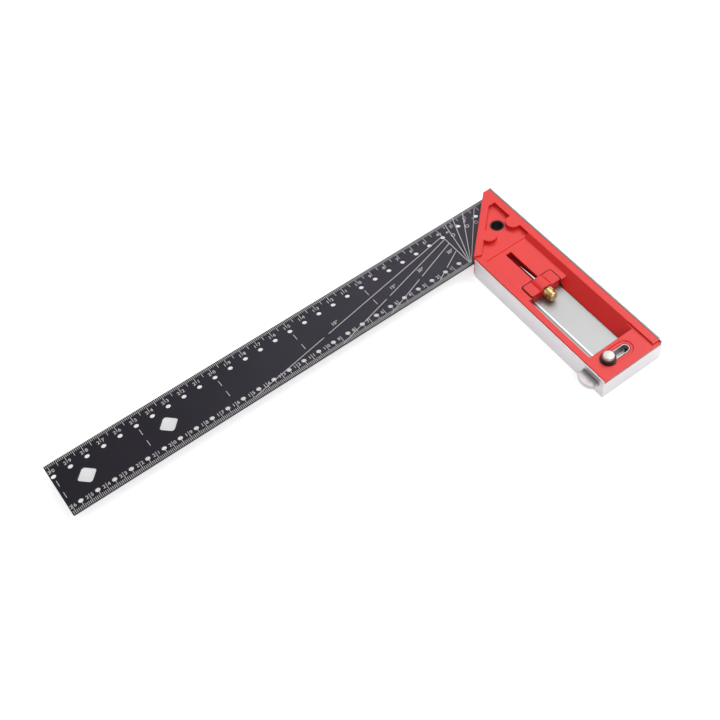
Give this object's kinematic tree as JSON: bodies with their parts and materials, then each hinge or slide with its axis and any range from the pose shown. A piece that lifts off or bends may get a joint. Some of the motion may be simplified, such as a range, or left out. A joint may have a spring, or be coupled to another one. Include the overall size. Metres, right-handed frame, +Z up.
{
  "type": "speed square",
  "caption": "L-shaped carpenter's try and mitre square: black perforated rule blade, red and aluminium handle with a parked scriber and a pull-out support ledge.",
  "frame": {"origin": "centre of the bounding box in plan, on the plane that the handle's underside rests on", "axes": "+X along the blade from the handle to the tip, +Y along the handle from the blade to the handle's end, +Z up out of the top cover"},
  "size_m": [0.305, 0.15, 0.0188],
  "materials": {
    "black_anodised": "black anodised, satin, with pale engraved marks",
    "cast_aluminium": "satin, brushed along the fence",
    "red_abs": "satin moulded ABS",
    "dark_red_abs": "satin moulded ABS",
    "grey_rubber": "matte",
    "polished_steel": "ground and polished",
    "brass": "turned and knurled",
    "zinc_plate": "zinc plated",
    "chrome": "chrome plated",
    "black_nylon": "matte"
  },
  "bodies": {
    "root": {"blade": "black_anodised", "handle_body": "cast_aluminium", "top_cover": "red_abs", "bottom_cover": "red_abs", "scriber_clip": "dark_red_abs", "scriber_sleeve": "grey_rubber", "slot_liner": "zinc_plate", "hang_eyelet": "black_nylon", "cover_screw_1": "zinc_plate", "cover_screw_2": "zinc_plate", "cover_screw_3": "zinc_plate", "cover_screw_4": "zinc_plate", "cover_screw_5": "zinc_plate", "blade_rivet_1": "zinc_plate", "blade_rivet_2": "zinc_plate", "blade_rivet_3": "zinc_plate", "blade_rivet_4": "zinc_plate"},
    "scriber": {"scriber_needle": "polished_steel", "scriber_knob": "brass"},
    "ledge": {"ledge_bar": "zinc_plate", "ledge_washer": "black_nylon"},
    "thumbscrew": {"ledge_knob": "chrome"}
  },
  "joints": [
    {"name": "scriber_slide", "type": "slide", "parent": "root", "child": "scriber", "axis": [0, 1, 0], "range_m": [0, 0.045]},
    {"name": "ledge_slide", "type": "slide", "parent": "root", "child": "ledge", "axis": [-1, 0, 0], "range_m": [0, 0.012]},
    {"name": "thumbscrew_turn", "type": "hinge", "parent": "ledge", "child": "thumbscrew", "pos_m": [-0.1217, 0.065, 0.0166], "axis": [0, 0, 1], "range_deg": [0, 360]}
  ]
}
